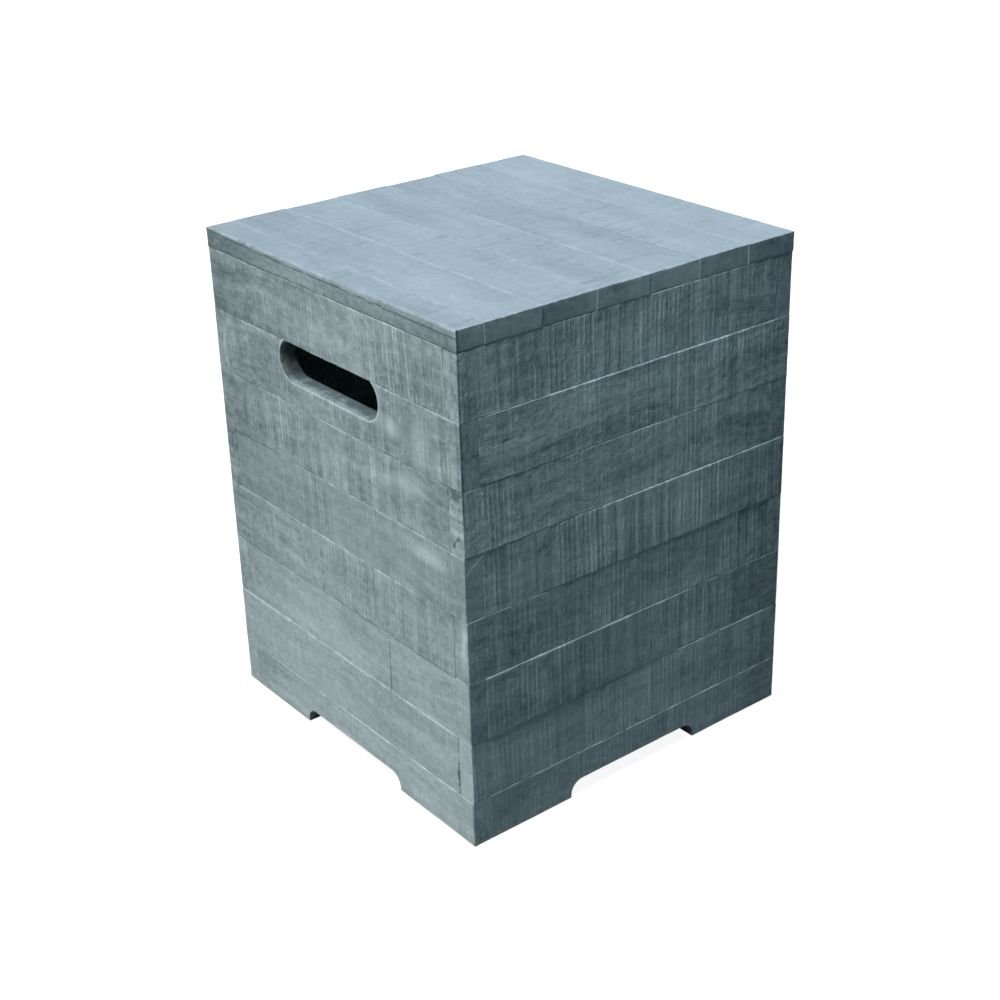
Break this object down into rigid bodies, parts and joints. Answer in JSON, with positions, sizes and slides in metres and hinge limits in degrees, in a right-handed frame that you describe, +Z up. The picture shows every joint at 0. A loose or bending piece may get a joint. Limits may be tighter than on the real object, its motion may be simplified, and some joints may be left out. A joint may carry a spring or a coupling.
{
  "type": "propane tank cover table",
  "caption": "Square weathered-board box that hides a gas cylinder and serves as a side table, with a lift-off plank lid, hand holes and hose notches.",
  "frame": {"origin": "middle of the square footprint, on the ground under the glides", "axes": "+Z up; the front wall faces -Y and the wall with the hand hole seen in the picture faces -X; the lid planks run along Y"},
  "size_m": [0.4, 0.4, 0.508],
  "materials": {
    "wall_board": "grey weathered, rough sawn, matte",
    "lid_plank": "grey weathered, rough sawn, matte",
    "inner_frame": "planed softwood, unpainted, dulled by damp",
    "screw": "zinc plated, dull",
    "dowel": "plain hardwood",
    "glide": "black moulded nylon, satin"
  },
  "bodies": {
    "walls": {"front_board_1": "wall_board", "front_board_2": "wall_board", "front_board_3": "wall_board", "front_board_4": "wall_board", "front_board_5": "wall_board", "front_board_6": "wall_board", "front_board_7": "wall_board", "front_board_8": "wall_board", "right_board_1": "wall_board", "right_board_2": "wall_board", "right_board_3": "wall_board", "right_board_4": "wall_board", "right_board_5": "wall_board", "right_board_6": "wall_board", "right_board_7": "wall_board", "right_board_8": "wall_board", "back_board_1": "wall_board", "back_board_2": "wall_board", "back_board_3": "wall_board", "back_board_4": "wall_board", "back_board_5": "wall_board", "back_board_6": "wall_board", "back_board_7": "wall_board", "back_board_8": "wall_board", "left_board_1": "wall_board", "left_board_2": "wall_board", "left_board_3": "wall_board", "left_board_4": "wall_board", "left_board_5": "wall_board", "left_board_6": "wall_board", "left_board_7": "wall_board", "left_board_8": "wall_board", "corner_post_front_left": "inner_frame", "foot_glide_front_left": "glide", "wall_screws_front_left": "screw", "corner_post_front_right": "inner_frame", "foot_glide_front_right": "glide", "wall_screws_front_right": "screw", "corner_post_back_right": "inner_frame", "foot_glide_back_right": "glide", "wall_screws_back_right": "screw", "corner_post_back_left": "inner_frame", "foot_glide_back_left": "glide", "wall_screws_back_left": "screw"},
    "lid": {"lid_plank_1": "lid_plank", "lid_plank_2": "lid_plank", "lid_plank_3": "lid_plank", "lid_plank_4": "lid_plank", "lid_plank_5": "lid_plank", "lid_plank_6": "lid_plank", "lid_plank_7": "lid_plank", "lid_batten_front": "inner_frame", "lid_screws_front": "screw", "lid_batten_back": "inner_frame", "lid_screws_back": "screw", "lid_dowels": "dowel"}
  },
  "joints": [
    {"name": "lid_lift", "type": "slide", "parent": "walls", "child": "lid", "axis": [0, 0, 1], "range_m": [0, 0.15]}
  ]
}
